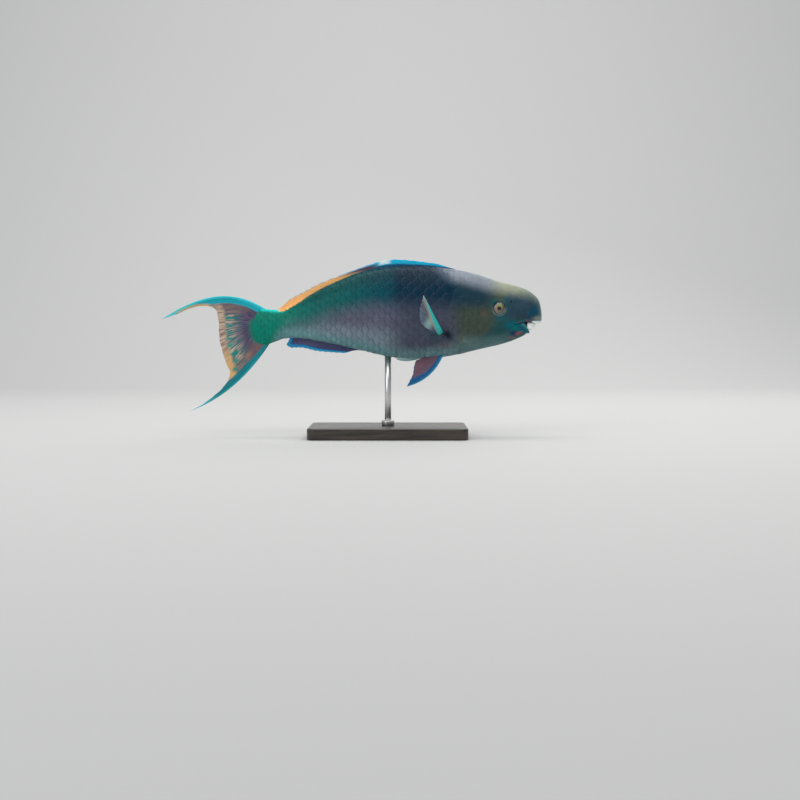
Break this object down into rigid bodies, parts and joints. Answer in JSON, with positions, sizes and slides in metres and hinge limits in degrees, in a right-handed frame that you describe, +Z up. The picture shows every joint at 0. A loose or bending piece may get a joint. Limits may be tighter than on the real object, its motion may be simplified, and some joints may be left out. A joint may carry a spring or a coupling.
{
  "type": "parrotfish",
  "caption": "Life-size parrotfish, a blunt-headed reef fish with a crescent tail, swimming level on a plain rod stand.",
  "frame": {"origin": "middle of the stand base's underside, on the surface the stand rests on", "axes": "+X past the snout, +Y to the fish's left, +Z up"},
  "size_m": [0.5338, 0.165, 0.248],
  "materials": {
    "skin_front": "satin, scaled, painted blue-green and mauve",
    "skin_rear": "satin, scaled, painted green and mauve",
    "beak": "semi-gloss",
    "eye": "gloss",
    "fin_blue": "satin",
    "fin_orange": "satin",
    "fin_tail": "satin",
    "fin_red": "satin",
    "stand_wood": "ebonised, satin",
    "stand_steel": "brushed"
  },
  "bodies": {
    "root": {"head": "skin_front", "gill_cover_right": "skin_front", "gill_cover_left": "skin_front", "lower_jaw": "skin_front", "upper_beak": "beak", "lower_beak": "beak", "eye_right": "eye", "eye_left": "eye", "trunk": "skin_front", "rear_body": "skin_rear", "tail_stem": "skin_rear", "dorsal_fin_spiny": "fin_blue", "dorsal_fin_soft": "fin_orange", "anal_fin": "fin_blue", "tail_fin_upper_lobe": "fin_tail", "tail_fin_upper_tip": "fin_tail", "tail_fin_middle": "fin_tail", "tail_fin_lower_lobe": "fin_tail", "tail_fin_lower_tip": "fin_tail", "pectoral_fin_right": "fin_blue", "pectoral_fin_left": "fin_blue", "pelvic_fin_right": "fin_red", "pelvic_fin_left": "fin_red", "stand_base": "stand_wood", "stand_rod": "stand_steel", "stand_collar": "stand_steel"}
  },
  "joints": []
}
